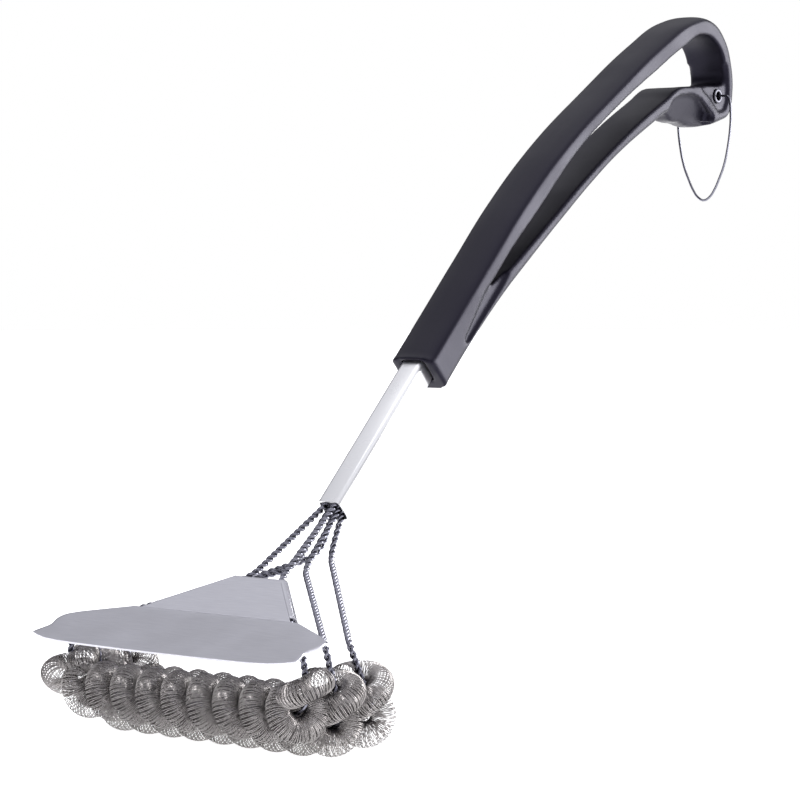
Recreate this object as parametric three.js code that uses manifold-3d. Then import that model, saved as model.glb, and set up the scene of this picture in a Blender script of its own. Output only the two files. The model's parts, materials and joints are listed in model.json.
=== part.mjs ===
// Long-handled grill cleaning brush without bristles: three rows of coiled spring carried by
// three loops of twisted wire, a bent sheet scraper on the front loop, a square tube neck and
// a moulded open-loop handle with a swinging wire hanging loop.
// Millimetres, +Z up. X runs along the coil rows, -Y is the front, the handle leans to +Y.
// Inside the head group the fold line of the scraper is the line y = 0, z = 0.

import * as THREE from "three";
import { mergeVertices } from "three/addons/utils/BufferGeometryUtils.js";
import Module from "manifold-3d";

const wasm = await Module();
wasm.setup();

// ---------------------------------------------------------------- driving dimensions

const gap = 0.3; // clearance between pieces that touch on the real brush

// twisted wire
const strandDiameter = 1.4;
const strandGap = 0.2;
const strandSides = 5;
const strandStepsPerTurn = 6;
const twistPitch = 28;
const twistRadius = (strandDiameter + strandGap) / 2 / Math.cos(Math.PI / strandStepsPerTurn);
const pairRadius = twistRadius + strandDiameter / 2;

// square neck tube, which grips the six legs of the three loops
const legSpacing = 5;
const layerPitch = 2 * pairRadius + 0.12;
const tubeWall = 0.8;
const tubeInner = 2 * layerPitch + 2 * pairRadius + 0.2;
const tubeSide = tubeInner + 2 * tubeWall;
const tubeCorner = 2;
const neckSlope = THREE.MathUtils.degToRad(44.6);
const neckExposed = 82;
const neckInsert = 42;
const wireInsert = 14;
const neckEnd = { y: 76.2, z: 36.7 };

// scraper sheet
const sheetThickness = 0.8;
const panelSlope = THREE.MathUtils.degToRad(24.3);
const bladeSlope = THREE.MathUtils.degToRad(16);
const panelLength = 30.1;
const panelTopHalf = 15.6;
const foldHalf = 44.2;
const bladeLength = 39.9;
const wingHalf = 71.5;
const rollInner = pairRadius + gap;
const rollOuter = rollInner + sheetThickness;

// coil rows and the corners of their loops, front to rear
const coilPitch = 13.8;
const coilSides = 7;
const coilStepsPerTurn = 10;
const coilWindRadius = 4.7;
const coilHelixRadius = (pairRadius + gap + coilWindRadius) / Math.cos(Math.PI / coilStepsPerTurn);
const rowSpacing =
  2 * coilHelixRadius + Math.sqrt((2 * coilWindRadius + gap) ** 2 - (coilPitch / 2) ** 2);
const middleRow = 2.4;
const rowHalf = 65.5;
const kneeX = rowHalf - 3.5;
const coilTurns = Math.round((4 * rowHalf) / coilPitch) / 2;
const rowCorner = 12;
const rows = [
  { name: "front", y: middleRow - rowSpacing, z: -32.7, knee: { y: -18, z: -9.2 } },
  { name: "middle", y: middleRow, z: -40.6, knee: { y: -4.8, z: -6.6 } },
  { name: "rear", y: middleRow + rowSpacing, z: -39.8, knee: { y: 10.7, z: -8.6 } },
];

// handle
const handleWidth = 23;
const crownHeight = 2.7;
const crownSteps = 3;
const grooveDepth = 2;
const archDepth = 3;
const pocketDepth = 1.6;
const hinge = { y: 234.1, z: 130.7 }; // eyelet, from the centre of the handle's mouth
const grip = { y: 100, z: 88 }; // middle of the grip, from the centre of the handle's mouth

// eyelet and hanging loop
const wireDiameter = 1.2;
const eyeletBore = 4.4;
const eyeletWall = 0.5;
const flangeThickness = 0.5;
const flangeDiameter = eyeletBore + 2 * eyeletWall + 1.6;
const hangerLength = 52.1;
const hangerShift = 2.2; // the loose loop has slid this far to the right

// ---------------------------------------------------------------- helpers

const X = new THREE.Vector3(1, 0, 0);
const vec = (x, y, z) => new THREE.Vector3(x, y, z);

// A closed geometry as a solid that can be cut and joined.
function solid(geometry) {
  const bare = geometry.index ? geometry.toNonIndexed() : geometry.clone();
  bare.deleteAttribute("normal");
  bare.deleteAttribute("uv");
  const merged = mergeVertices(bare, 1e-4);
  return new wasm.Manifold(
    new wasm.Mesh({
      numProp: 3,
      vertProperties: merged.attributes.position.array,
      triVerts: new Uint32Array(merged.index.array),
    }),
  );
}

function geometryOf(made) {
  const mesh = made.getMesh();
  const points = new Float32Array(mesh.numVert * 3);
  for (let i = 0; i < mesh.numVert; i++) {
    const from = i * mesh.numProp;
    points.set(mesh.vertProperties.subarray(from, from + 3), i * 3);
  }
  return new THREE.BufferGeometry()
    .setAttribute("position", new THREE.BufferAttribute(points, 3))
    .setIndex(new THREE.BufferAttribute(mesh.triVerts, 1));
}

function finish(color, roughness, metalness) {
  return new THREE.MeshStandardMaterial({ color, roughness, metalness });
}

function piece(name, geometry, material) {
  const mesh = new THREE.Mesh(geometry, material);
  mesh.name = name;
  return mesh;
}

function polygon(radius, sides) {
  const points = [];
  for (let i = 0; i < sides; i++) {
    const angle = (2 * Math.PI * i) / sides;
    points.push(new THREE.Vector2(radius * Math.cos(angle), radius * Math.sin(angle)));
  }
  return new THREE.Shape(points);
}

function roundedSquare(side, corner) {
  const half = side / 2;
  const flat = half - corner;
  const shape = new THREE.Shape();
  shape.moveTo(-flat, -half);
  shape.lineTo(flat, -half);
  shape.absarc(flat, -flat, corner, -Math.PI / 2, 0, false);
  shape.lineTo(half, flat);
  shape.absarc(flat, flat, corner, 0, Math.PI / 2, false);
  shape.lineTo(-flat, half);
  shape.absarc(-flat, flat, corner, Math.PI / 2, Math.PI, false);
  shape.lineTo(-half, -flat);
  shape.absarc(-flat, -flat, corner, Math.PI, 1.5 * Math.PI, false);
  return shape;
}

// Straight runs joined by round bends. Each point is [Vector3, length of bend each side].
function bentPath(stations) {
  const path = new THREE.CurvePath();
  let from = stations[0][0];
  for (let i = 1; i < stations.length - 1; i++) {
    const [corner, reach] = stations[i];
    const back = stations[i - 1][0].clone().sub(corner).setLength(reach).add(corner);
    const ahead = stations[i + 1][0].clone().sub(corner).setLength(reach).add(corner);
    path.add(new THREE.LineCurve3(from, back));
    path.add(new THREE.QuadraticBezierCurve3(back, corner.clone(), ahead));
    from = ahead;
  }
  path.add(new THREE.LineCurve3(from, stations[stations.length - 1][0]));
  return path;
}

// A helix of constant pitch round any path. Where the path lies in a plane, the plane's own
// normal can be given, and the phase is then counted from it.
class Helix extends THREE.Curve {
  constructor(path, radius, turns, phase, planeNormal = null) {
    super();
    path.arcLengthDivisions = 600;
    this.path = path;
    this.radius = radius;
    this.turns = turns;
    this.phase = phase;
    this.planeNormal = planeNormal;
    this.frames = planeNormal ? null : path.computeFrenetFrames(240, false);
    this.arcLengthDivisions = 1600;
  }

  frameAt(t) {
    if (this.planeNormal) {
      const tangent = this.path.getTangentAt(t);
      return [this.planeNormal.clone(), tangent.cross(this.planeNormal)];
    }
    const { normals, binormals } = this.frames;
    const place = t * (normals.length - 1);
    const low = Math.min(Math.floor(place), normals.length - 2);
    return [normals, binormals].map((list) =>
      list[low].clone().lerp(list[low + 1], place - low).normalize(),
    );
  }

  getPoint(t, target = new THREE.Vector3()) {
    const along = Math.min(Math.max(t, 0), 1);
    const [normal, binormal] = this.frameAt(along);
    const angle = this.phase + 2 * Math.PI * this.turns * t;
    return target
      .copy(this.path.getPointAt(along))
      .addScaledVector(normal, this.radius * Math.cos(angle))
      .addScaledVector(binormal, this.radius * Math.sin(angle));
  }
}

// The stretch of a curve between two of its parameters.
class Stretch extends THREE.Curve {
  constructor(curve, from, to) {
    super();
    this.curve = curve;
    this.from = from;
    this.to = to;
  }

  getPoint(t, target = new THREE.Vector3()) {
    return this.curve.getPoint(this.from + (this.to - this.from) * t, target);
  }
}

function rodAlong(curve, radius, sides, steps) {
  return new THREE.ExtrudeGeometry(polygon(radius, sides), {
    steps,
    bevelEnabled: false,
    extrudePath: curve,
  });
}

// A shape drawn in (y, z) and extruded along X, centred on x = 0.
function acrossX(shape, width, options = {}) {
  const geometry = new THREE.ExtrudeGeometry(shape, {
    depth: width,
    bevelEnabled: false,
    curveSegments: 5,
    ...options,
  });
  geometry.translate(0, 0, -width / 2);
  const basis = new THREE.Matrix4().makeBasis(vec(0, 1, 0), vec(0, 0, 1), vec(1, 0, 0));
  return geometry.applyMatrix4(basis);
}

// A smooth closed outline through a few (y, z) points.
function smoothOutline(points, divisions) {
  const curve = new THREE.CatmullRomCurve3(
    points.map(([y, z]) => vec(y, z, 0)),
    true,
    "centripetal",
  );
  return new THREE.Shape(
    curve.getPoints(divisions).slice(0, -1).map((p) => new THREE.Vector2(p.x, p.y)),
  );
}

// ---------------------------------------------------------------- neck

const neckDirection = vec(0, Math.cos(neckSlope), Math.sin(neckSlope));
const neckBack = vec(0, Math.sin(neckSlope), -Math.cos(neckSlope));
const bundleCentre = vec(0, neckEnd.y, neckEnd.z);
const mouth = bundleCentre.clone().addScaledVector(neckDirection, neckExposed);

function neckTube() {
  const section = roundedSquare(tubeSide, tubeCorner);
  section.holes.push(roundedSquare(tubeInner, tubeCorner - tubeWall));
  const length = neckExposed + neckInsert;
  const geometry = new THREE.ExtrudeGeometry(section, {
    depth: length,
    bevelEnabled: false,
    curveSegments: 3,
  });
  const mesh = piece("neck_tube", geometry, finish(0xdededd, 0.35, 1));
  mesh.position.copy(bundleCentre);
  mesh.quaternion.setFromRotationMatrix(
    new THREE.Matrix4().makeBasis(X, neckBack, neckDirection),
  );
  return mesh;
}

// ---------------------------------------------------------------- scraper

const panelUp = vec(0, Math.cos(panelSlope), Math.sin(panelSlope));
const panelNormal = vec(0, -Math.sin(panelSlope), Math.cos(panelSlope));
const bladeForward = vec(0, -Math.cos(bladeSlope), -Math.sin(bladeSlope));
const bladeNormal = vec(0, -Math.sin(bladeSlope), Math.cos(bladeSlope));
const sideRun = Math.hypot(foldHalf - panelTopHalf, panelLength);
const rollReach = (rollOuter * sideRun) / panelLength; // roll seen along X
const legDrop = rollInner + sheetThickness / 2; // leg centre below the middle of the sheet

// A point of the right front leg where it runs under the panel, s up from the fold.
function legUnderPanel(s) {
  const share = s / panelLength;
  const x = foldHalf + (panelTopHalf - foldHalf) * share - rollReach;
  return vec(x, 0, 0).addScaledVector(panelUp, s).addScaledVector(panelNormal, -legDrop);
}

// A flat sheet whose outline is drawn in (x, distance along the sheet).
function sheetFrom(shape, along, normal) {
  const geometry = new THREE.ExtrudeGeometry(shape, {
    depth: sheetThickness,
    bevelEnabled: false,
    curveSegments: 6,
  });
  geometry.translate(0, 0, -sheetThickness / 2);
  const side = new THREE.Vector3().crossVectors(along, normal);
  return geometry.applyMatrix4(new THREE.Matrix4().makeBasis(side, along, normal));
}

function panelShape(overlap) {
  const fold = foldHalf - rollReach;
  const top = panelTopHalf - rollReach;
  const shape = new THREE.Shape();
  shape.moveTo(-fold, -overlap);
  shape.lineTo(fold, -overlap);
  shape.lineTo(fold, 0);
  shape.lineTo(top, panelLength);
  shape.lineTo(-top, panelLength);
  shape.lineTo(-fold, 0);
  return shape;
}

// Half of the blade: the wing with its rounded corner, a notch and a pointed tip.
function bladeShape(overlap) {
  const tipDistance = bladeLength - 6.9;
  const notchDistance = bladeLength - 14.9;
  const cornerDistance = bladeLength - 24.9;
  const half = [
    [foldHalf, -overlap],
    [foldHalf, 0],
    [wingHalf - 11, cornerDistance - 7],
    [wingHalf - 2, cornerDistance - 2.4],
    [wingHalf, cornerDistance + 1],
    [wingHalf - 0.6, cornerDistance + 3.6],
    [wingHalf - 2, notchDistance],
    [wingHalf - 1.4, notchDistance + 3.2],
    [wingHalf - 0.3, tipDistance],
    [wingHalf - 4.5, tipDistance + 2.2],
    [wingHalf - 13, bladeLength - 1.3],
    [wingHalf - 31, bladeLength - 0.4],
    [0, bladeLength],
  ];
  const shape = new THREE.Shape();
  half.forEach(([x, s], i) => (i ? shape.lineTo(x, s) : shape.moveTo(x, s)));
  half
    .slice(0, -1)
    .reverse()
    .forEach(([x, s]) => shape.lineTo(-x, s));
  return shape;
}

// The rolled side of the panel, a C-shaped strip bent round the front loop's leg.
function rolledEdge(side) {
  const open = THREE.MathUtils.degToRad(98);
  const closed = THREE.MathUtils.degToRad(-118);
  const section = new THREE.Shape();
  section.absarc(0, 0, rollOuter, open, closed, true);
  section.absarc(0, 0, rollInner, closed, open, false);
  const start = legUnderPanel(panelLength * 0.1);
  const end = legUnderPanel(panelLength);
  const along = end.clone().sub(start).normalize();
  const outward = new THREE.Vector3().crossVectors(along, panelNormal);
  const geometry = new THREE.ExtrudeGeometry(section, {
    depth: start.distanceTo(end),
    bevelEnabled: false,
    curveSegments: 10,
  });
  geometry.applyMatrix4(
    new THREE.Matrix4().makeBasis(outward, panelNormal, outward.clone().cross(panelNormal)),
  );
  geometry.translate(end.x, end.y, end.z);
  const right = solid(geometry);
  return side > 0 ? right : right.mirror([1, 0, 0]);
}

// The oblong window at the foot of each rolled side, where the leg passes under the wing.
function legWindow(side) {
  const centre = vec(foldHalf - rollReach, 0, 0).addScaledVector(panelUp, 0.5);
  const window = new THREE.BoxGeometry(2 * pairRadius, 5, 3);
  const turn = Math.atan2(panelLength, foldHalf - panelTopHalf) - Math.PI / 2;
  window.applyMatrix4(new THREE.Matrix4().makeRotationZ(-turn));
  window.applyMatrix4(new THREE.Matrix4().makeBasis(X, panelUp, panelNormal));
  window.translate(centre.x, centre.y, centre.z);
  const right = solid(window);
  return side > 0 ? right : right.mirror([1, 0, 0]);
}

function scraper() {
  const overlap = 0.3;
  let made = solid(sheetFrom(panelShape(overlap), panelUp, panelNormal));
  made = made.add(solid(sheetFrom(bladeShape(overlap), bladeForward, bladeNormal)));
  for (const side of [1, -1]) made = made.add(rolledEdge(side)).subtract(legWindow(side));
  return piece("scraper", geometryOf(made), finish(0xb4b4ba, 0.4, 1));
}

// ---------------------------------------------------------------- twisted loops

// The centre line of one loop, from the tube round the coil row and back to the tube.
function loopPath(row, layer) {
  const exit = bundleCentre.clone().addScaledVector(neckBack, layer * layerPitch);
  exit.x = legSpacing / 2;
  const start = exit.clone().addScaledVector(neckDirection, wireInsert);
  const right = [[start, 0], [exit, 4]];
  if (layer < 0) {
    right.push([legUnderPanel(panelLength + 4), 6]);
    right.push([legUnderPanel(0), 6]);
  } else {
    const shoulder = { y: 53.5 + 17 * layer, z: 14 + 3.9 * layer };
    right.push([vec(legSpacing / 2 + 0.5, shoulder.y, shoulder.z), 8]);
  }
  right.push([vec(kneeX, row.knee.y, row.knee.z), 6]);
  right.push([vec(rowHalf, row.y, row.z), rowCorner]);
  const left = right.map(([p, reach]) => [vec(-p.x, p.y, p.z), reach]).reverse();
  return bentPath([...right, ...left]);
}

function strands(row, layer) {
  const path = loopPath(row, layer);
  const turns = Math.round(path.getLength() / twistPitch);
  return ["a", "b"].map((letter, i) => {
    const curve = new Helix(path, twistRadius, turns, Math.PI * i);
    const steps = turns * strandStepsPerTurn;
    const geometry = rodAlong(curve, strandDiameter / 2, strandSides, steps);
    return piece(row.name + "_strand_" + letter, geometry, finish(0x6a6a76, 0.35, 1));
  });
}

// ---------------------------------------------------------------- coil rows

// The outer form of the wound spring: one fat helix round the row's twisted core. It starts
// part of the way round the corner, where its turns press into each other on the inside.
function coil(row) {
  const corner = vec(rowHalf, row.y, row.z);
  const drop = vec(kneeX, row.knee.y, row.knee.z).sub(corner).normalize();
  const top = corner.clone().addScaledVector(drop, rowCorner + 1);
  const mirrored = (p) => vec(-p.x, p.y, p.z);
  const whole = bentPath([
    [top, 0],
    [corner, rowCorner],
    [mirrored(corner), rowCorner],
    [mirrored(top), 0],
  ]);
  const trim = (1 - (coilTurns * coilPitch) / whole.getLength()) / 2;
  const path = new Stretch(whole, trim, 1 - trim);
  const planeNormal = new THREE.Vector3().crossVectors(X, drop).normalize();
  const frontPhase = Math.atan2(-planeNormal.z, -planeNormal.y);
  const phase = frontPhase - Math.PI * coilTurns;
  const curve = new Helix(path, coilHelixRadius, coilTurns, phase, planeNormal);
  const breaks = [0, 0.5, 1, 1.5, coilTurns - 1.5, coilTurns - 1, coilTurns - 0.5, coilTurns];
  const lap = 0.02;
  let made = null;
  for (let i = 0; i < breaks.length - 1; i++) {
    const from = breaks[i];
    const to = Math.min(breaks[i + 1] + lap, coilTurns);
    const steps = Math.round((to - from) * coilStepsPerTurn);
    const part = new Stretch(curve, from / coilTurns, to / coilTurns);
    const run = solid(rodAlong(part, coilWindRadius, coilSides, steps));
    made = made ? made.add(run) : run;
  }
  return piece(row.name + "_coil", geometryOf(made), finish(0x8a8482, 0.35, 1));
}

// ---------------------------------------------------------------- handle

const mouthTrim = 8; // the outline runs this far past the mouth before it is cut square

// Side outline, (y, z) from the centre of the mouth.
function handleOutline() {
  const front = neckBack.clone().multiplyScalar(-(tubeSide / 2 - 1));
  const back = neckBack.clone().multiplyScalar(tubeSide / 2 + 2.2);
  const end = (side, along) => [
    side.y + neckDirection.y * along,
    side.z + neckDirection.z * along,
  ];
  return smoothOutline(
    [
      end(front, -mouthTrim),
      end(front, 4),
      end(front, 29),
      [42.6, 49.1],
      [67.3, 73.2],
      [102.5, 101.9],
      [142.6, 127.9],
      [184.6, 152.8],
      [210.6, 164.8],
      [226.5, 166.3],
      [238.5, 158.6],
      [244.6, 146.5],
      [246, 133],
      [242.6, 122.5],
      [238, 120.5],
      [220, 117.5],
      [207, 119.3],
      [200, 119.6],
      [193.3, 122.4],
      [184.7, 121.6],
      [174.3, 116.6],
      [143.7, 100.8],
      [121.7, 87],
      [97.8, 70.3],
      [68.6, 49],
      [48, 33.3],
      end(back, 24),
      end(back, 4),
      end(back, -mouthTrim),
    ],
    84,
  );
}

// The grip opening between the two straps, (y, z) from the centre of the mouth.
function gripOpening() {
  return smoothOutline(
    [
      [38.2, 35.2],
      [56.5, 54],
      [74.9, 69.8],
      [109.9, 100.2],
      [144.4, 122.8],
      [176, 140.2],
      [201, 153.2],
      [220, 160.5],
      [233, 156],
      [238.9, 147.5],
      [240.4, 138.1],
      [237, 136.3],
      [227.6, 135.7],
      [205.8, 134],
      [196.7, 132.8],
      [186.2, 127.4],
      [165.6, 117],
      [143.7, 104.5],
      [114.2, 85.9],
      [91.3, 69.9],
      [70.6, 55.4],
      [53, 43.5],
    ],
    66,
  );
}

// The shallow groove that runs from the mouth up to the grip opening on both sides.
function sideGroove() {
  return new THREE.Shape(
    [
      [20, 12.6],
      [23.4, 12.2],
      [47, 35.4],
      [54, 43.2],
      [48, 45.5],
      [35.5, 34],
    ].map(([y, z]) => new THREE.Vector2(y, z)),
  );
}

// The hollow under the raised arch of the tail, open at the bottom.
function archHollow() {
  return new THREE.Shape(
    [
      [187, 121.5],
      [192.2, 127],
      [199, 129.3],
      [208.8, 130.1],
      [216.4, 128.5],
      [222.4, 124.8],
      [228.4, 121],
      [231, 106],
      [188, 106],
    ].map(([y, z]) => new THREE.Vector2(y, z)),
  );
}

// The pocket round the eyelet, between the arch and the rim of the hook.
function tailPocket() {
  return new THREE.Shape(
    [
      [217, 136.6],
      [219, 133.6],
      [225.4, 129.9],
      [231.5, 125],
      [234, 122.8],
      [239.5, 124],
      [242.2, 128],
      [242.8, 134],
      [242.4, 141],
      [241, 147],
      [236, 148],
      [228, 140],
    ].map(([y, z]) => new THREE.Vector2(y, z)),
  );
}

// The same cut, to a depth, in both sides of the handle.
function pocketsOf(shape, depth) {
  const tool = acrossX(shape, 2 * depth);
  const left = solid(tool.clone().translate(-handleWidth / 2, 0, 0));
  return solid(tool.translate(handleWidth / 2, 0, 0)).add(left);
}

// What the neck takes out of the handle: the square socket, and all that is in front of
// the flat end face.
function socket() {
  const basis = new THREE.Matrix4().makeBasis(X, neckBack, neckDirection);
  const hole = new THREE.ExtrudeGeometry(roundedSquare(tubeSide + 2 * gap, tubeCorner + gap), {
    depth: neckInsert + gap + mouthTrim,
    bevelEnabled: false,
    curveSegments: 3,
  });
  hole.translate(0, 0, -mouthTrim).applyMatrix4(basis);
  const front = new THREE.BoxGeometry(2 * handleWidth, 2 * handleWidth, 3 * mouthTrim);
  front.translate(0, 0, -1.5 * mouthTrim).applyMatrix4(basis);
  return solid(hole).add(solid(front));
}

function handle() {
  const bevelWidth = handleWidth / 2 - 1.5;
  const body = acrossX(handleOutline(), handleWidth - 2 * bevelWidth, {
    bevelEnabled: true,
    bevelThickness: bevelWidth,
    bevelSize: crownHeight,
    bevelOffset: 0,
    bevelSegments: crownSteps,
  });
  const bore = new THREE.CylinderGeometry(
    eyeletBore / 2 + eyeletWall + gap,
    eyeletBore / 2 + eyeletWall + gap,
    handleWidth + 10,
    16,
  );
  bore.rotateZ(Math.PI / 2).translate(0, hinge.y, hinge.z);
  const made = solid(body)
    .subtract(solid(acrossX(gripOpening(), handleWidth + 10)))
    .subtract(pocketsOf(sideGroove(), grooveDepth))
    .subtract(pocketsOf(archHollow(), archDepth))
    .subtract(pocketsOf(tailPocket(), pocketDepth))
    .subtract(socket())
    .subtract(solid(bore));
  const mesh = piece("handle", geometryOf(made), finish(0x23212b, 0.45, 0));
  mesh.position.copy(mouth);
  return mesh;
}

// ---------------------------------------------------------------- eyelet and hanging loop

// A tubular rivet through the tail of the handle, with a flange in each side pocket.
function eyelet() {
  const inner = eyeletBore / 2;
  const barrel = inner + eyeletWall;
  const flange = flangeDiameter / 2;
  const seat = handleWidth / 2 - pocketDepth + gap;
  const outer = seat + flangeThickness;
  const profile = [
    [inner, -outer],
    [flange, -outer],
    [flange, -seat],
    [barrel, -seat],
    [barrel, seat],
    [flange, seat],
    [flange, outer],
    [inner, outer],
    [inner, -outer],
  ].map(([r, h]) => new THREE.Vector2(r, h));
  const geometry = new THREE.LatheGeometry(profile, 16).rotateZ(Math.PI / 2);
  const mesh = piece("eyelet", geometry, finish(0xb9b9bd, 0.3, 1));
  mesh.position.copy(mouth).add(vec(0, hinge.y, hinge.z));
  return mesh;
}

// One length of spring wire whose ends butt inside the eyelet. It hangs by its own weight.
function hangingLoop() {
  const standOff = handleWidth / 2 + 3.5;
  const half = [
    vec(0.25, 0, 0),
    vec(handleWidth / 2, 0, 0),
    vec(standOff - 0.9, 0, -0.6),
    vec(standOff, 0, -3),
    vec(standOff + 0.5, 0, -9),
    vec(standOff + 0.4, 0, -14.5),
    vec(standOff - 1.1, 0, -26),
    vec(standOff - 3.3, 0, -35),
    vec(standOff - 6, 0, -41.5),
    vec(standOff - 8.8, 0, -47),
    vec(standOff - 11.8, 0, 1.4 - hangerLength),
  ];
  const bottom = vec(0, 0, -hangerLength);
  const rest = half.map((p) => vec(-p.x, p.y, p.z)).reverse();
  const curve = new THREE.CatmullRomCurve3([...half, bottom, ...rest], false, "centripetal");
  const geometry = rodAlong(curve, wireDiameter / 2, 6, 48);
  const mesh = piece("hanging_loop", geometry, finish(0x8c8c8e, 0.3, 1));
  mesh.position.copy(mouth).add(vec(hangerShift, hinge.y, hinge.z));
  return mesh;
}

// ---------------------------------------------------------------- assembly

const head = new THREE.Group();
head.add(scraper(), neckTube());
rows.forEach((row, i) => head.add(...strands(row, i - 1), coil(row)));

const handleGroup = new THREE.Group();
handleGroup.add(handle(), eyelet(), hangingLoop());

// The whole brush is placed so that the middle of the grip is the origin.
const brush = new THREE.Group();
brush.add(head, handleGroup);
brush.position.set(0, -(mouth.y + grip.y), -(mouth.z + grip.z));

const root = new THREE.Group();
root.add(brush);

export default root;
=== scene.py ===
import json
import math

import bmesh
import bpy
import numpy as np
from mathutils import Matrix, Vector


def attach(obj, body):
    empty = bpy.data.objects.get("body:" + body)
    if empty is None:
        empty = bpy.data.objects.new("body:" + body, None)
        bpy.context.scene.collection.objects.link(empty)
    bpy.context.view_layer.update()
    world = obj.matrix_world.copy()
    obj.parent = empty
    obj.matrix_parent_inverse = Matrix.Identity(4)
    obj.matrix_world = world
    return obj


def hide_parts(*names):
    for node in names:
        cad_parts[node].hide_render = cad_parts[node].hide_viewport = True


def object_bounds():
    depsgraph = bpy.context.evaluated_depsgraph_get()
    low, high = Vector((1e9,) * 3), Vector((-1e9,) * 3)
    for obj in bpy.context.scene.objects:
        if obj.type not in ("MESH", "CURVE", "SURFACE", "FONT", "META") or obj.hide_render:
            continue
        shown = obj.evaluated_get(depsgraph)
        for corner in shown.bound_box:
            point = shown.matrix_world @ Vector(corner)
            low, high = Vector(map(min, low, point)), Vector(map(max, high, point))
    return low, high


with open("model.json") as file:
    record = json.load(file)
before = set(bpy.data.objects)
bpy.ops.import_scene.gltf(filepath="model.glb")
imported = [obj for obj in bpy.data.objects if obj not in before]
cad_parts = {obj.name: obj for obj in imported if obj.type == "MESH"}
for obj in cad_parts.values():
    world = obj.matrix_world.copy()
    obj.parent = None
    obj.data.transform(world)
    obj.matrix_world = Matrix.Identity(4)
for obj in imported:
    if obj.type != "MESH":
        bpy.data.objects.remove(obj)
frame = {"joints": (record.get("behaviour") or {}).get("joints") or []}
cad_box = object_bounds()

# ---------------------------------------------------------------------------------------
# Studio. A plain white floor and a surround that brightens with height and to the right, one
# soft light overhead and one broad light behind on the right, so that steel shows a slow change
# from grey to white. The camera is placed from the fold line of the scraper.

MM = 0.001
# The frame gives the hinge of the hanging loop. The mouth of the handle, the lower end of the
# neck and the fold line follow from it.
hinge = Vector(frame["joints"][0]["pos_m"])
hinge_from_mouth = Vector((0, 234.1, 130.7))
neck_from_fold = Vector((0, 76.2, 36.7))
neck_slope = math.radians(44.6)
neck_exposed = 82
neck_direction = Vector((0, math.cos(neck_slope), math.sin(neck_slope)))
neck_back = Vector((0, math.sin(neck_slope), -math.cos(neck_slope)))
mouth = hinge - hinge_from_mouth * MM
neck_end = mouth - neck_direction * neck_exposed * MM
fold = neck_end - neck_from_fold * MM

camera_data = bpy.data.cameras.new("camera")
camera_data.sensor_width = 36
camera_data.lens = 126.69
camera_data.clip_start = 0.01
camera = bpy.data.objects.new("camera", camera_data)
camera.location = fold + Vector((756.2, -848.0, 146.1)) * MM
camera.rotation_euler = (math.radians(90 - 2.979), 0, math.radians(37.929))
bpy.context.scene.collection.objects.link(camera)
bpy.context.scene.camera = camera
bpy.context.scene.view_settings.view_transform = "Standard"


def srgb(code):
    """An sRGB hex colour as the linear RGBA that a shader takes."""
    parts = [int(code[i : i + 2], 16) / 255 for i in (0, 2, 4)]
    linear = [p / 12.92 if p <= 0.04045 else ((p + 0.055) / 1.055) ** 2.4 for p in parts]
    return (*linear, 1)


def add_node(tree, kind, settings, links=()):
    """Adds a node. A setting is a property of the node or one of its inputs."""
    made = tree.nodes.new(kind)
    for name, value in settings.items():
        if isinstance(name, str) and hasattr(made, name):
            setattr(made, name, value)
        else:
            made.inputs[name].default_value = value
    for name, source in dict(links).items():
        tree.links.new(source, made.inputs[name])
    return made


def area_light(name, place, target, size, power):
    data = bpy.data.lights.new(name, "AREA")
    data.shape = "RECTANGLE"
    data.size, data.size_y = size
    data.energy = power
    lamp = bpy.data.objects.new(name, data)
    lamp.location = place
    aim = Vector(target) - Vector(place)
    lamp.rotation_euler = aim.to_track_quat("-Z", "Y").to_euler()
    bpy.context.scene.collection.objects.link(lamp)


area_light("overhead", (-0.1, -0.2, 1.3), (0, -0.05, -0.1), (1.2, 1.2), 4)
area_light("right_side", (0.9, 1.15, 0.05), (0, 0, -0.05), (0.9, 1.2), 40)

world = bpy.data.worlds.new("studio")
world.use_nodes = True
tree = world.node_tree
tree.nodes.clear()
direction = add_node(tree, "ShaderNodeTexCoord", {})
parts = add_node(tree, "ShaderNodeSeparateXYZ", {}, {"Vector": direction.outputs["Generated"]})
# Height brightens the surround, and so does the right side.
rise = add_node(
    tree,
    "ShaderNodeMapRange",
    {"From Min": 0.28, "From Max": 0.68, "To Min": 0.14, "To Max": 0.94},
    {"Value": parts.outputs["Z"]},
)
side = add_node(
    tree,
    "ShaderNodeMapRange",
    {"From Min": 0.2, "From Max": 0.95, "To Min": 0, "To Max": 0.5},
    {"Value": parts.outputs["X"]},
)
both = add_node(
    tree,
    "ShaderNodeMath",
    {"operation": "ADD"},
    {0: rise.outputs["Result"], 1: side.outputs["Result"]},
)
light_path = add_node(tree, "ShaderNodeLightPath", {})
surround = add_node(
    tree,
    "ShaderNodeBackground",
    {"Color": srgb("f9f9ff")},
    {"Strength": both.outputs["Value"]},
)
backdrop = add_node(tree, "ShaderNodeBackground", {"Color": srgb("ffffff"), "Strength": 1})
seen = add_node(
    tree,
    "ShaderNodeMixShader",
    {},
    {0: light_path.outputs["Is Camera Ray"], 1: surround.outputs[0], 2: backdrop.outputs[0]},
)
add_node(tree, "ShaderNodeOutputWorld", {}, {"Surface": seen.outputs[0]})
bpy.context.scene.world = world

bpy.ops.object.select_all(action="DESELECT")
bpy.ops.mesh.primitive_circle_add(
    vertices=64, radius=6, fill_type="NGON", location=(0, 0, cad_box[0][2] - 0.001)
)
floor = bpy.context.object
floor.name = "floor"
paint = bpy.data.materials.new("matt_white_backdrop_paper")
paint.use_nodes = True
tree = paint.node_tree
tree.nodes.clear()
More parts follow.
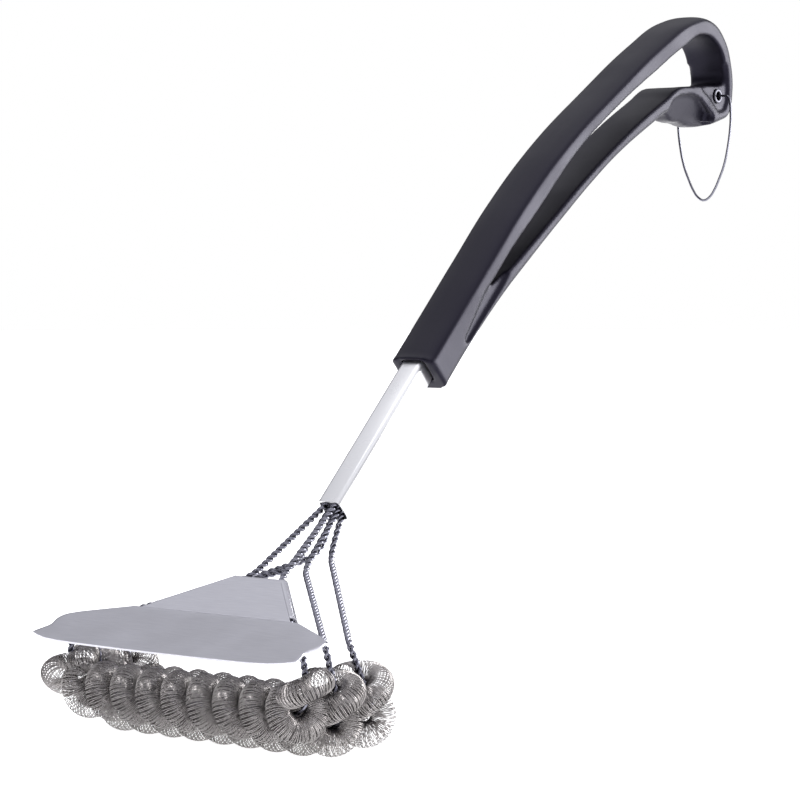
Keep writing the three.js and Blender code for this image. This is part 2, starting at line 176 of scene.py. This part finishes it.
# Paper that also glows, so that it reads as one clean white with the surround.
matt = add_node(tree, "ShaderNodeBsdfDiffuse", {"Color": srgb("f6f6f6"), "Roughness": 1})
glow = add_node(tree, "ShaderNodeEmission", {"Color": srgb("ffffff"), "Strength": 0.9})
paper = add_node(tree, "ShaderNodeAddShader", {}, {0: matt.outputs[0], 1: glow.outputs[0]})
add_node(tree, "ShaderNodeOutputMaterial", {}, {"Surface": paper.outputs[0]})
floor.data.materials.append(paint)

# ---------------------------------------------------------------------------------------
# Neck tube. Square stainless tube with round corners and a thin wall, drawn to shape, pressed
# on to the six wire legs at its lower end and moulded into the handle at its upper end.

tube_side = 11.8
tube_wall = 0.8
tube_corner = 2.2
neck_insert = 42
tube_length = neck_exposed + neck_insert


def stainless(name, dark, light, roughness, grain, turn=(0, 0, 0), relief=0.02):
    """Stainless steel whose finish is grain: sizes in mm of the scratches along x, y and z."""
    material = bpy.data.materials.new(name)
    material.use_nodes = True
    tree = material.node_tree
    tree.nodes.clear()
    place = add_node(tree, "ShaderNodeTexCoord", {})
    turned = add_node(
        tree,
        "ShaderNodeMapping",
        {"vector_type": "POINT", "Rotation": turn},
        {"Vector": place.outputs["Object"]},
    )
    stretched = add_node(
        tree,
        "ShaderNodeMapping",
        {"Scale": [1 / (size * MM) for size in grain]},
        {"Vector": turned.outputs[0]},
    )
    scratches = add_node(
        tree,
        "ShaderNodeTexNoise",
        {"Scale": 1, "Detail": 3, "Roughness": 0.6},
        {"Vector": stretched.outputs[0]},
    )
    clouds = add_node(
        tree,
        "ShaderNodeTexNoise",
        {"Scale": 45, "Detail": 2},
        {"Vector": place.outputs["Object"]},
    )
    shade = add_node(
        tree,
        "ShaderNodeMix",
        {"data_type": "RGBA", 6: srgb(dark), 7: srgb(light)},
        {0: scratches.outputs["Fac"]},
    )
    gloss = add_node(
        tree,
        "ShaderNodeMapRange",
        {"From Min": 0.3, "From Max": 0.7, "To Min": roughness - 0.06, "To Max": roughness + 0.06},
        {"Value": clouds.outputs["Fac"]},
    )
    bumps = add_node(
        tree,
        "ShaderNodeBump",
        {"Strength": 0.5, "Distance": relief * MM},
        {"Height": scratches.outputs["Fac"]},
    )
    metal = add_node(
        tree,
        "ShaderNodeBsdfPrincipled",
        {"Metallic": 1},
        {
            "Base Color": shade.outputs[2],
            "Roughness": gloss.outputs["Result"],
            "Normal": bumps.outputs["Normal"],
        },
    )
    add_node(tree, "ShaderNodeOutputMaterial", {}, {"Surface": metal.outputs[0]})
    return material


def settle(piece, matrix=None):
    """Puts a piece's place into its mesh, so that its object sits at the origin."""
    bpy.context.view_layer.update()
    piece.data.transform((matrix or Matrix.Identity(4)) @ piece.matrix_world)
    piece.matrix_world = Matrix.Identity(4)
    piece.data.update()


def apply_all(piece):
    """Applies a piece's modifiers in order."""
    bpy.ops.object.select_all(action="DESELECT")
    bpy.context.view_layer.objects.active = piece
    piece.select_set(True)
    for modifier in list(piece.modifiers):
        bpy.ops.object.modifier_apply(modifier=modifier.name)


def hand_over(piece, material, body, slot, *nodes):
    """Gives a finished piece its material, its body and the CAD nodes that it stands for."""
    piece.data.materials.clear()
    piece.data.materials.append(material)
    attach(piece, body)
    if nodes:
        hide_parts(*nodes)


bpy.ops.object.select_all(action="DESELECT")
bpy.ops.mesh.primitive_cube_add(size=1)
tube = bpy.context.object
tube.name = "square_neck_tube"
tube.scale = (tube_side * MM, tube_side * MM, tube_length * MM)
bpy.ops.object.transform_apply(location=False, rotation=False, scale=True)
bpy.ops.object.mode_set(mode="EDIT")
bpy.ops.mesh.select_mode(type="FACE")
bpy.ops.mesh.select_all(action="DESELECT")
cage = bmesh.from_edit_mesh(tube.data)
for face in cage.faces:
    face.select_set(abs(face.normal.z) > 0.9)
bmesh.update_edit_mesh(tube.data)
bpy.ops.mesh.delete(type="ONLY_FACE")
bpy.ops.mesh.select_mode(type="EDGE")
bpy.ops.mesh.select_all(action="DESELECT")
cage = bmesh.from_edit_mesh(tube.data)
for edge in cage.edges:
    upright = abs(edge.verts[0].co.z - edge.verts[1].co.z) > tube_length * MM / 2
    edge.select_set(upright)
bmesh.update_edit_mesh(tube.data)
bpy.ops.mesh.bevel(offset=tube_corner * MM, segments=6)
bpy.ops.object.mode_set(mode="OBJECT")
wall = tube.modifiers.new("wall", "SOLIDIFY")
wall.thickness = tube_wall * MM
wall.offset = -1
rim = tube.modifiers.new("rim", "BEVEL")
rim.width = 0.2 * MM
rim.segments = 2
rim.limit_method = "ANGLE"
rim.angle_limit = math.radians(60)
apply_all(tube)
bpy.ops.object.shade_smooth_by_angle(angle=math.radians(40))
upright = Matrix((
    (1, 0, 0),
    (0, neck_back.y, neck_direction.y),
    (0, neck_back.z, neck_direction.z),
)).to_4x4()
centre = neck_end + neck_direction * tube_length * MM / 2
settle(tube, Matrix.Translation(centre) @ upright)
# Drawn stainless: long faint lines along the tube, and a soft satin reflection.
tube_steel = stainless(
    "drawn_stainless_tube", "d2d3d6", "f0f0f0", 0.3, (0.25, 0.25, 14), (-neck_slope, 0, 0)
)
hand_over(tube, tube_steel, "brush", "tube_steel", "neck_tube")

# ---------------------------------------------------------------------------------------
# Scraper. One stainless sheet, cut out, folded slightly across, with the sides of its upper
# panel rolled round the front wires. The blade's ends have a rounded lug, a notch and a point.

sheet_thickness = 0.9
panel_slope = math.radians(24.3)
blade_slope = math.radians(16)
panel_length = 30.1
panel_top_half = 15.6
fold_half = 44.2
fold_softness = 2.5
pair_radius = 1.55
roll_radius = pair_radius + 0.3 + sheet_thickness / 2
side_run = math.hypot(fold_half - panel_top_half, panel_length)
roll_reach = (roll_radius + sheet_thickness / 2) * side_run / panel_length
slot_end = 3.2
roll_start = 90
roll_sweep = 215
panel_normal = Vector((0, -math.sin(panel_slope), math.cos(panel_slope)))


def sheet_point(x, s):
    """A point of the sheet's middle, s mm up from the fold. The fold is a soft bend."""
    middle = (panel_slope + blade_slope) / 2
    half = (panel_slope - blade_slope) / 2
    near = max(-fold_softness, min(fold_softness, s))
    mean = middle + half * near / fold_softness / 2
    y, z = near * math.cos(mean), near * math.sin(mean)
    end = panel_slope if s > 0 else blade_slope
    y += (s - near) * math.cos(end)
    z += (s - near) * math.sin(end)
    return Vector((x, y, z))


def leg_under_panel(s):
    """The centre of the right front leg, s mm up from the fold."""
    x = fold_half + (panel_top_half - fold_half) * s / panel_length - roll_reach
    return sheet_point(x, s) - panel_normal * roll_radius


# Half width of the blade against the distance from the fold, and its front edge against x.
wing_at = [0, 4, 8, 11, 13.4, 15.4, 17.6, 20, 22, 23.6, 25.3, 27.3, 30, 32.5, 33.9]
wing_half = [44.2, 52.3, 60.4, 66, 69.2, 70.5, 70.7, 70.4, 69.7, 68.9, 68.4, 68.7, 69.7, 70.6, 70.8]
edge_x = [0, 20, 42, 52, 60, 66, 70.8]
edge_at = [40, 39.9, 39.5, 39.1, 38.1, 36.2, 33.9]
wing_rows = 44
panel_rows = 26
blade_rows = 70
sheet_columns = 90


def grid(name, columns, rows, shape):
    """A grid whose points are put by shape(u, v), with u and v from 0 to 1."""
    bpy.ops.object.select_all(action="DESELECT")
    bpy.ops.mesh.primitive_grid_add(x_subdivisions=columns, y_subdivisions=rows, size=1)
    made = bpy.context.object
    made.name = name
    for vertex in made.data.vertices:
        vertex.co = shape(vertex.co.x + 0.5, vertex.co.y + 0.5) * MM
    return made


def blade(u, v):
    across = 2 * u - 1
    if v * blade_rows <= wing_rows:
        s = wing_at[-1] * v * blade_rows / wing_rows
        return sheet_point(across * np.interp(s, wing_at, wing_half), -s)
    x = across * wing_half[-1]
    share = (v * blade_rows - wing_rows) / (blade_rows - wing_rows)
    s = wing_at[-1] + share * (np.interp(abs(x), edge_x, edge_at) - wing_at[-1])
    return sheet_point(x, -s)


def panel(u, v):
    s = panel_length * v
    return sheet_point((2 * u - 1) * leg_under_panel(s).x, s)


def rolled_side(sign):
    start = leg_under_panel(0)
    along = (leg_under_panel(panel_length) - start).normalized()
    outward = along.cross(panel_normal)

    def strip(u, v):
        s = slot_end + (panel_length - slot_end) * v
        angle = math.radians(roll_start - roll_sweep * u)
        ring = outward * math.cos(angle) + panel_normal * math.sin(angle)
        point = leg_under_panel(s) + ring * roll_radius
        return Vector((sign * point.x, point.y, point.z))

    return strip


sheets = [grid("scraper_sheet", sheet_columns, blade_rows, blade)]
sheets.append(grid("panel", sheet_columns, panel_rows, panel))
for sign in (1, -1):
    sheets.append(grid("roll", 18, 24, rolled_side(sign)))
bpy.ops.object.select_all(action="DESELECT")
for sheet in sheets:
    sheet.select_set(True)
scraper = sheets[0]
bpy.context.view_layer.objects.active = scraper
bpy.ops.object.join()
bpy.ops.object.mode_set(mode="EDIT")
bpy.ops.mesh.select_all(action="SELECT")
bpy.ops.mesh.remove_doubles(threshold=0.12 * MM)
bpy.ops.mesh.normals_make_consistent(inside=False)
bpy.ops.object.mode_set(mode="OBJECT")
thickness = scraper.modifiers.new("thickness", "SOLIDIFY")
thickness.thickness = sheet_thickness * MM
thickness.offset = 0
thickness.use_even_offset = True
cut_edge = scraper.modifiers.new("cut_edge", "BEVEL")
cut_edge.width = 0.15 * MM
cut_edge.segments = 2
cut_edge.limit_method = "ANGLE"
cut_edge.angle_limit = math.radians(60)
apply_all(scraper)
bpy.ops.object.shade_smooth_by_angle(angle=math.radians(35))
settle(scraper, Matrix.Translation(fold))
# Brushed stainless sheet: short scratches across the brush, and a bluish grey satin sheen.
sheet_steel = stainless(
    "brushed_stainless_sheet", "b4b4bc", "d6d6dc", 0.34, (9, 0.3, 0.3), relief=0.03
)
hand_over(scraper, sheet_steel, "brush", "sheet_steel", "scraper")

# ---------------------------------------------------------------------------------------
# Wire loops. Each of the three loops is two bright stainless wires twisted together: tight on
# the legs, and with one slow turn for every two lobes of the spring along the row.

strand_radius = 0.75
strand_clearance = 0.02
wire_step = 0.45
leg_spacing = 5
layer_pitch = 3.26
wire_insert = 10
leg_twist = 6.2
row_twist = 28.6
row_half = 65.5
row_corner = 12
knee_x = 62
rows = [
    {"name": "front", "layer": -1, "y": -18.3, "z": -32.7, "knee": (-18, -9.2)},
    {"name": "middle", "layer": 0, "y": 2.4, "z": -40.6, "knee": (-4.8, -6.6)},
    {"name": "rear", "layer": 1, "y": 23.1, "z": -39.8, "knee": (10.7, -8.6)},
]


def bent_path(stations, step):
    """Points every step mm along straight runs joined by round bends."""
    points = [Vector(stations[0][0])]
    for (before, _), (corner, reach), (after, _) in zip(stations, stations[1:], stations[2:]):
        start = corner + (before - corner).normalized() * reach
        end = corner + (after - corner).normalized() * reach
        points.append(start)
        for i in range(1, 25):
            t = i / 24
            points.append(start * (1 - t) ** 2 + corner * 2 * t * (1 - t) + end * t**2)
    points.append(Vector(stations[-1][0]))
    points = np.array(points)
    runs = np.r_[0, np.cumsum(np.linalg.norm(np.diff(points, axis=0), axis=1))]
    places = np.linspace(0, runs[-1], int(runs[-1] / step) + 1)
    return np.stack([np.interp(places, runs, points[:, i]) for i in range(3)], axis=1)


def wind(path, radius, angles, normal):
    """The points of a helix round a path. normal is the first frame's side, carried along."""
    tangents = np.gradient(path, axis=0)
    tangents /= np.linalg.norm(tangents, axis=1)[:, None]
    wound = np.empty_like(path)
    side = np.array(normal, float)
    for i, (point, tangent, angle) in enumerate(zip(path, tangents, angles)):
        side = side - tangent * side.dot(tangent)
        side /= np.linalg.norm(side)
        other = np.cross(tangent, side)
        wound[i] = point + radius * (math.cos(angle) * side + math.sin(angle) * other)
    return wound


def wire(name, points, radius, roundness):
    """A round wire through points in mm, as a mesh with closed ends."""
    data = bpy.data.curves.new(name, "CURVE")
    data.dimensions = "3D"
    data.bevel_depth = radius * MM
    data.bevel_resolution = roundness
    data.use_fill_caps = True
    spline = data.splines.new("POLY")
    spline.points.add(len(points) - 1)
    spline.points.foreach_set("co", np.c_[points * MM, np.ones(len(points))].ravel())
    made = bpy.data.objects.new(name, data)
    bpy.context.scene.collection.objects.link(made)
    bpy.ops.object.select_all(action="DESELECT")
    made.select_set(True)
    bpy.context.view_layer.objects.active = made
    bpy.ops.object.convert(target="MESH")
    bpy.ops.object.shade_smooth()
    return bpy.context.object


def loop_path(row, step):
    """One loop's centre line, from the tube round the row and back to the tube."""
    offset = neck_back * row["layer"] * layer_pitch
    leaving = neck_from_fold + offset
    leaving.x = leg_spacing / 2
    right = [(leaving + neck_direction * wire_insert, 0), (leaving, 4)]
    if row["layer"] < 0:
        right.append((leg_under_panel(panel_length + 4), 6))
        right.append((leg_under_panel(0), 6))
    else:
        right.append((Vector((3, 53.5 + 17 * row["layer"], 14 + 3.9 * row["layer"])), 8))
    right.append((Vector((knee_x, *row["knee"])), 6))
    right.append((Vector((row_half, row["y"], row["z"])), row_corner))
    left = [(Vector((-p.x, p.y, p.z)), reach) for p, reach in reversed(right)]
    return bent_path(right + left, step)


# Bright drawn wire, dark where it turns away from the light.
wire_steel = stainless("bright_drawn_wire", "50505c", "92929c", 0.24, (0.5, 0.5, 0.5), relief=0.01)
for row in rows:
    path = loop_path(row, wire_step)
    in_row = path[:, 2] < row["z"] + row_corner / 2
    pitches = np.where(in_row, row_twist, leg_twist)
    turns = np.cumsum(2 * math.pi * wire_step / pitches)
    for letter, phase in (("a", 0), ("b", math.pi)):
        points = wind(path, strand_radius + strand_clearance, turns + phase, (1, 0, 0))
        strand = wire(row["name"] + "_wire_" + letter, points, strand_radius, 1)
        settle(strand, Matrix.Translation(fold))
        node = row["name"] + "_strand_" + letter
        hand_over(strand, wire_steel, "brush", "wire_steel", node)

# ---------------------------------------------------------------------------------------
# Springs. A long spring of fine stainless wire is wound round each row like a rope, right-handed,
# over both corners and up the sides. Its turns open like a fan on the outside of every bend.

lobe_pitch = 13.8
lobe_radius = 6.85
spring_radius = 5.25
fine_wire_radius = 0.19
spring_pitch = 0.56
points_per_turn = 16
spring_top = -19
core_step = 0.3
lobe_phase = math.radians(22)


def spring(row):
    """The turns of one row's spring: a fine helix round a coarse one, which winds the core."""
    corner = Vector((row_half, row["y"], row["z"]))
    knee = Vector((knee_x, *row["knee"]))
    drop = (knee - corner).normalized()
    top = corner + drop * (spring_top - corner.z) / drop.z
    left = [(Vector((-p.x, p.y, p.z)), reach) for p, reach in ((corner, row_corner), (top, 0))]
    path = bent_path([(top, 0), (corner, row_corner), *left], core_step)
    middle = (len(path) - 1) / 2
    angles = (np.arange(len(path)) - middle) * 2 * math.pi * core_step / lobe_pitch
    across = Vector((1, 0, 0)).cross(drop)
    start = math.atan2(-across.z, -across.y) + lobe_phase
    rope = wind(path, lobe_radius, angles + start, across)
    runs = np.r_[0, np.cumsum(np.linalg.norm(np.diff(rope, axis=0), axis=1))]
    count = int(runs[-1] / spring_pitch * points_per_turn)
    places = np.linspace(0, runs[-1], count)
    rope = np.stack([np.interp(places, runs, rope[:, i]) for i in range(3)], axis=1)
    turns = np.arange(count) * 2 * math.pi / points_per_turn
    return wind(rope, spring_radius, turns, (0, 0, 1))


# Fine spring wire: a warm grey tangle of highlights, with a faint pink tint from heat.
spring_steel = stainless(
    "fine_stainless_spring_wire", "676261", "c8c4c3", 0.26, (1.5, 1.5, 1.5), relief=0.01
)
for row in rows:
    coil = wire(row["name"] + "_spring", spring(row), fine_wire_radius, 0)
    settle(coil, Matrix.Translation(fold))
    hand_over(coil, spring_steel, "brush", "spring_steel", row["name"] + "_coil")

# ---------------------------------------------------------------------------------------
# Handle. One black moulded plastic piece: a solid lower end that holds the tube, two straps
# round an open grip, and a rounded hook. Its sides are flat and its rim is crowned.

handle_width = 23
crown = 2.7
flat_half = 1.5
groove_depth = 2
arch_depth = 3
pocket_depth = 1.6
mouth_trim = 8
hollow_top = 128
hollow_lean = math.radians(20)
end_block = 60
end_depth = 30
eyelet_hole = 2.9


def from_mouth(side, along):
    point = neck_back * side + neck_direction * along
    return (point.y, point.z)


outer_outline = [
    from_mouth(-4.9, -mouth_trim), from_mouth(-4.9, 4), from_mouth(-4.9, 29),
    (42.6, 49.1), (67.3, 73.2), (102.5, 101.9), (142.6, 127.9), (184.6, 152.8),
    (210.6, 164.8), (226.5, 166.3), (238.5, 158.6), (244.6, 146.5), (246, 133),
    (242.6, 122.5), (238, 120.5), (220, 117.5), (207, 119.3), (200, 119.6), (193.3, 122.4),
    (184.7, 121.6), (174.3, 116.6), (143.7, 100.8), (121.7, 87), (97.8, 70.3), (68.6, 49),
    (48, 33.3), from_mouth(8.1, 24), from_mouth(8.1, 4), from_mouth(8.1, -mouth_trim),
]
# The opening's lower end is a sharp point, and the rest of it is round.
grip_opening = [
    (38.2, 35.2), (56.5, 54), (74.9, 69.8), (109.9, 100.2), (144.4, 122.8), (176, 140.2), (201, 153.2),
    (220, 160.5), (233, 156), (238.9, 147.5), (240.4, 138.1), (237, 136.3), (227.6, 135.7),
    (217.6, 134.7), (205.8, 134), (196.7, 132.8), (186.2, 127.4), (165.6, 117),
    (143.7, 104.5), (114.2, 85.9), (91.3, 69.9), (70.6, 55.4),
    (53, 43.5),
]
side_groove = [(20, 12.6), (23.4, 12.2), (47, 35.4), (54, 43.2), (48, 45.5), (35.5, 34)]
# Under the tail's raised arch, and between the arch and the rim of the hook.
arch_hollow = [
    (187, 121.5), (192.2, 127), (199, 129.3), (208.8, 130.1), (216.4, 128.5), (222.4, 124.8),
    (228.4, 121), (231, 106), (188, 106),
]
tail_pocket = [
    (217, 136.6), (217.9, 133), (225.4, 128.9), (231.5, 124), (234, 122.2), (239.5, 123.6),
    (242.2, 128), (242.8, 134), (242.4, 141), (241, 147), (236, 148), (228, 140),
]


def side_view_solid(name, outline, half_width, crowned=0, smooth=True, sharp=()):
    """A solid whose side outline, in mm from the mouth, is drawn out along X about the origin."""
    data = bpy.data.curves.new(name, "CURVE")
    data.dimensions = "2D"
    data.fill_mode = "BOTH"
    data.resolution_u = 10
    spline = data.splines.new("BEZIER")
    spline.bezier_points.add(len(outline) - 1)
    for knot, (y, z) in zip(spline.bezier_points, outline):
        knot.co = (y * MM, z * MM, 0)
        round_knot = smooth and (y, z) not in sharp
        knot.handle_left_type = knot.handle_right_type = "AUTO" if round_knot else "VECTOR"
    spline.use_cyclic_u = True
    squeeze = 1
    data.extrude = half_width * MM
    if crowned:
        squeeze = (half_width - flat_half) / crowned
        data.extrude = flat_half * MM / squeeze
        data.bevel_depth = crowned * MM
        data.bevel_resolution = 8
    made = bpy.data.objects.new(name, data)
    bpy.context.scene.collection.objects.link(made)
    bpy.ops.object.select_all(action="DESELECT")
    made.select_set(True)
    bpy.context.view_layer.objects.active = made
    bpy.ops.object.convert(target="MESH")
    made = bpy.context.object
    turned = Matrix(((0, 0, squeeze, 0), (1, 0, 0, 0), (0, 1, 0, 0), (0, 0, 0, 1)))
    made.data.transform(turned)
    bpy.ops.object.mode_set(mode="EDIT")
    bpy.ops.mesh.select_all(action="SELECT")
    bpy.ops.mesh.remove_doubles(threshold=0.01 * MM)
    bpy.ops.mesh.normals_make_consistent(inside=False)
    bpy.ops.object.mode_set(mode="OBJECT")
    return made


def cut(piece, tool):
    """Cuts a tool's solid out of a piece, and throws the tool away."""
    taken = piece.modifiers.new("cut", "BOOLEAN")
    taken.operation = "DIFFERENCE"
    taken.solver = "EXACT"
    taken.object = tool
    apply_all(piece)
    bpy.data.objects.remove(tool)


handle = side_view_solid("moulded_handle", outer_outline, handle_width / 2, crown)
cut(handle, side_view_solid("tool", grip_opening, handle_width, sharp=grip_opening[:1]))
for sign in (1, -1):
    for outline, depth in (
        (side_groove, groove_depth), (arch_hollow, arch_depth), (tail_pocket, pocket_depth),
    ):
        pocket = side_view_solid("tool", outline, depth, smooth=False)
        # The floor of the hollow under the arch leans in towards its open bottom.
        if outline is arch_hollow:
            lean = Matrix.Rotation(sign * hollow_lean, 4, "Y")
            root = Matrix.Translation((0, 0, hollow_top * MM))
            pocket.data.transform(root @ lean @ root.inverted())
        pocket.data.transform(Matrix.Translation((sign * handle_width / 2 * MM, 0, 0)))
        cut(handle, pocket)
bpy.ops.object.select_all(action="DESELECT")
bpy.ops.mesh.primitive_cube_add(size=1)
socket = bpy.context.object
socket_side = (tube_side + 0.4) * MM
socket_depth = 43
socket_lead = 12
socket.scale = (socket_side, socket_side, (socket_depth + socket_lead) * MM)
bpy.ops.object.transform_apply(location=False, rotation=False, scale=True)
socket.data.transform(
    Matrix.Translation(neck_direction * (socket_depth - socket_lead) / 2 * MM) @ upright
)
cut(handle, socket)
bpy.ops.object.select_all(action="DESELECT")
bpy.ops.mesh.primitive_cube_add(size=1)
end_cut = bpy.context.object
end_size = Matrix.Diagonal((end_block * MM, end_block * MM, end_depth * MM, 1))
end_place = Matrix.Translation(-neck_direction * end_depth / 2 * MM)
end_cut.data.transform(end_place @ upright @ end_size)
cut(handle, end_cut)
bpy.ops.mesh.primitive_cylinder_add(
    vertices=32,
    radius=eyelet_hole * MM,
    depth=2 * handle_width * MM,
    location=hinge_from_mouth * MM,
    rotation=(0, math.pi / 2, 0),
)
cut(handle, bpy.context.object)
# The mould's small radii: an even skin is laid over the cut shape, then smoothed.
skin = handle.modifiers.new("skin", "REMESH")
skin.mode = "VOXEL"
skin.voxel_size = 0.85 * MM
skin.use_smooth_shade = True
ease = handle.modifiers.new("ease", "SMOOTH")
ease.factor = 0.5
ease.iterations = 6
apply_all(handle)
settle(handle, Matrix.Translation(mouth))


def moulded_plastic():
    """ABS from a spark-eroded mould: near black, satin, with an even grain drawn at 0.5 mm."""
    material = bpy.data.materials.new("moulded_black_abs")
    material.use_nodes = True
    tree = material.node_tree
    tree.nodes.clear()
    place = add_node(tree, "ShaderNodeTexCoord", {})
    grain_mm = 0.5
    grain = add_node(
        tree,
        "ShaderNodeTexNoise",
        {"Scale": 1 / (grain_mm * MM), "Detail": 2, "Roughness": 0.5},
        {"Vector": place.outputs["Object"]},
    )
    handling = add_node(
        tree,
        "ShaderNodeTexNoise",
        {"Scale": 28, "Detail": 3},
        {"Vector": place.outputs["Object"]},
    )
    shade = add_node(
        tree,
        "ShaderNodeMix",
        {"data_type": "RGBA", 6: srgb("0d0c13"), 7: srgb("14121b")},
        {0: handling.outputs["Fac"]},
    )
    gloss = add_node(
        tree,
        "ShaderNodeMapRange",
        {"From Min": 0.3, "From Max": 0.7, "To Min": 0.36, "To Max": 0.46},
        {"Value": handling.outputs["Fac"]},
    )
    bumps = add_node(
        tree,
        "ShaderNodeBump",
        {"Strength": 0.35, "Distance": 0.03 * MM},
        {"Height": grain.outputs["Fac"]},
    )
    plastic = add_node(
        tree,
        "ShaderNodeBsdfPrincipled",
        {"IOR": 1.53, "Specular IOR Level": 0.23, "Specular Tint": srgb("c6c2e6")},
        {
            "Base Color": shade.outputs[2],
            "Roughness": gloss.outputs["Result"],
            "Normal": bumps.outputs["Normal"],
        },
    )
    add_node(tree, "ShaderNodeOutputMaterial", {}, {"Surface": plastic.outputs[0]})
    return material


hand_over(handle, moulded_plastic(), "brush", "handle_plastic", "handle")

# ---------------------------------------------------------------------------------------
# Eyelet. A short pressed steel bush across the tail of the handle, its ends spread into flanges
# that sit in the side pockets.

eyelet_bore = 2.2
eyelet_barrel = 2.7
eyelet_flange = 3.5
eyelet_seat = handle_width / 2 - pocket_depth + 0.2
eyelet_end = eyelet_seat + 0.6
half_profile = [
    (eyelet_barrel, 0), (eyelet_barrel, eyelet_seat), (eyelet_flange, eyelet_seat),
    (eyelet_flange + 0.1, eyelet_seat + 0.3), (eyelet_flange - 0.3, eyelet_end),
    (eyelet_bore + 0.25, eyelet_end), (eyelet_bore, eyelet_end - 0.3), (eyelet_bore, 0),
]
bpy.ops.object.select_all(action="DESELECT")
bpy.ops.mesh.primitive_plane_add(size=1)
eyelet = bpy.context.object
eyelet.name = "tail_eyelet"
outline = half_profile[:-1] + [(r, -x) for r, x in reversed(half_profile[1:-1])]
cage = bmesh.new()
corners = [cage.verts.new((x * MM, 0, r * MM)) for r, x in outline]
for one, other in zip(corners, corners[1:] + corners[:1]):
    cage.edges.new((one, other))
cage.to_mesh(eyelet.data)
turned = eyelet.modifiers.new("turned", "SCREW")
turned.axis = "X"
turned.steps = turned.render_steps = 32
turned.use_merge_vertices = True
turned.merge_threshold = 0.01 * MM
turned.use_normal_calculate = True
apply_all(eyelet)
bpy.ops.object.mode_set(mode="EDIT")
bpy.ops.mesh.select_all(action="SELECT")
bpy.ops.mesh.remove_doubles(threshold=0.005 * MM)
bpy.ops.mesh.normals_make_consistent(inside=False)
bpy.ops.object.mode_set(mode="OBJECT")
bpy.ops.object.shade_smooth_by_angle(angle=math.radians(35))
settle(eyelet, Matrix.Translation(hinge))
# Pressed steel, rougher than the tube, with its colour painted darker as shade, so that it reads as a
# mid grey ring against the black of the handle instead of mirroring the light from the right.
shaded_eyelet_steel = stainless("pressed_steel_eyelet_painted_shade", "3c3c42", "5e5e66", 0.4, (0.6, 0.6, 0.6))
hand_over(eyelet, shaded_eyelet_steel, "brush", "tube_steel", "eyelet")

# ---------------------------------------------------------------------------------------
# Hanging loop. One length of spring wire, bent to a pointed U. Its two ends butt inside the
# eyelet, and it swings there by its own weight.

hanger_radius = 0.6
hanger_shift = 2.2
stand_off = handle_width / 2 + 3.5
half_loop = [
    (0.25, 0), (handle_width / 2, 0), (stand_off - 0.9, -0.6), (stand_off, -3),
    (stand_off + 0.5, -9), (stand_off + 0.4, -14.5), (stand_off - 1.1, -26),
    (stand_off - 3.3, -35), (stand_off - 6, -41.5), (stand_off - 8.8, -47),
    (stand_off - 11.8, -50.7),
]
knots = [*half_loop, (0, -52.1), *[(-x, z) for x, z in reversed(half_loop)]]
data = bpy.data.curves.new("hanging_wire_loop", "CURVE")
data.dimensions = "3D"
data.bevel_depth = hanger_radius * MM
data.bevel_resolution = 3
data.resolution_u = 8
data.use_fill_caps = True
spline = data.splines.new("BEZIER")
spline.bezier_points.add(len(knots) - 1)
for knot, (x, z) in zip(spline.bezier_points, knots):
    knot.co = ((x + hanger_shift) * MM, 0, z * MM)
    knot.handle_left_type = knot.handle_right_type = "AUTO"
hanger = bpy.data.objects.new("hanging_wire_loop", data)
bpy.context.scene.collection.objects.link(hanger)
bpy.ops.object.select_all(action="DESELECT")
hanger.select_set(True)
bpy.context.view_layer.objects.active = hanger
bpy.ops.object.convert(target="MESH")
hanger = bpy.context.object
bpy.ops.object.shade_smooth()
settle(hanger, Matrix.Translation(hinge))
hand_over(hanger, wire_steel, "hanging_loop", "wire_steel", "hanging_loop")
